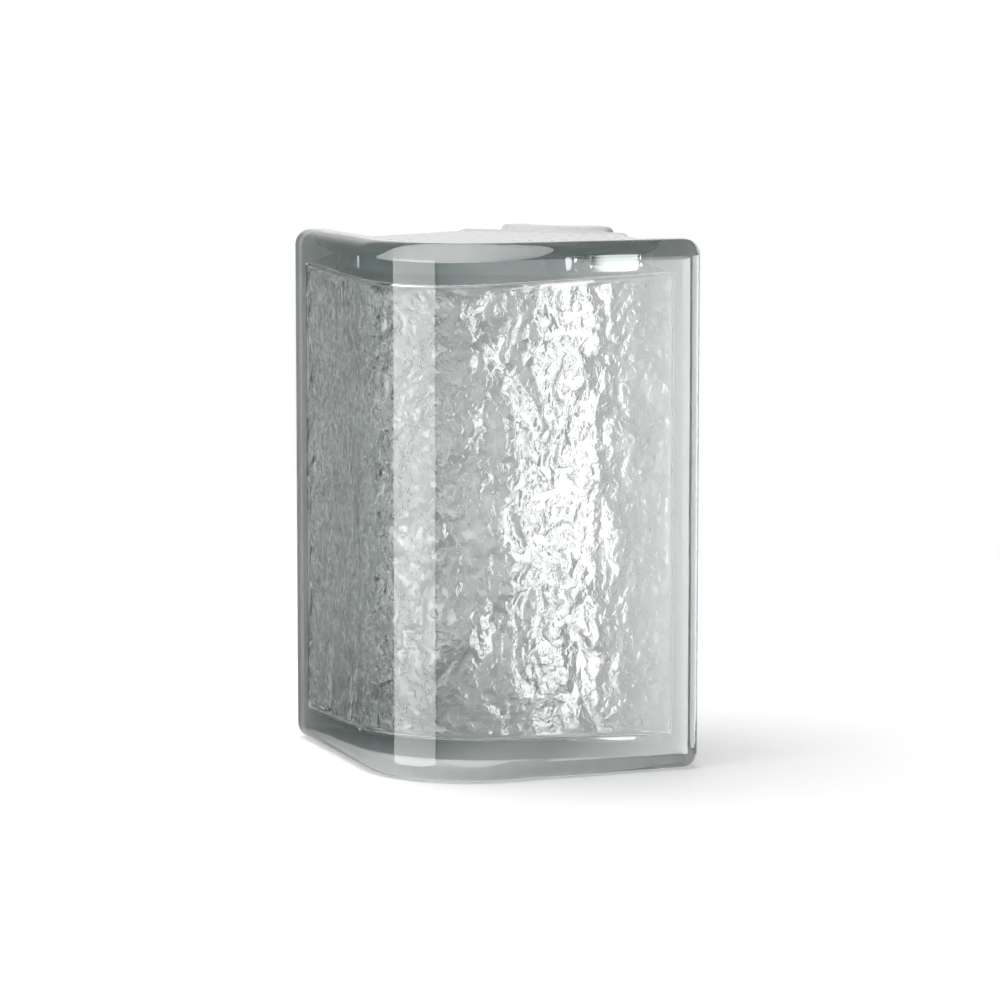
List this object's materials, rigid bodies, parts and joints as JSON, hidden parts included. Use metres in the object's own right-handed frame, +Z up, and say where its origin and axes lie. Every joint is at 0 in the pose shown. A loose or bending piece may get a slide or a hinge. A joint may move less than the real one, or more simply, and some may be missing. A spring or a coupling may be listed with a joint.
{
  "type": "corner glass block",
  "caption": "Sealed hollow block of pressed clear glass with a rounded outer corner, lips and mortar grooves, for turning a glass-block wall through a right angle.",
  "frame": {"origin": "centre of the block's box, on the plane of the bed that it stands on", "axes": "+Z up along the block's height; the mortar end faces look to +X and +Y, and the outer faces to -Y and -X"},
  "size_m": [0.12, 0.12, 0.197],
  "materials": {
    "glass": "clear, fire-polished outside, with pressed relief inside and matt grey mortar grooves"
  },
  "bodies": {
    "root": {"glass_block": "glass"}
  },
  "joints": []
}
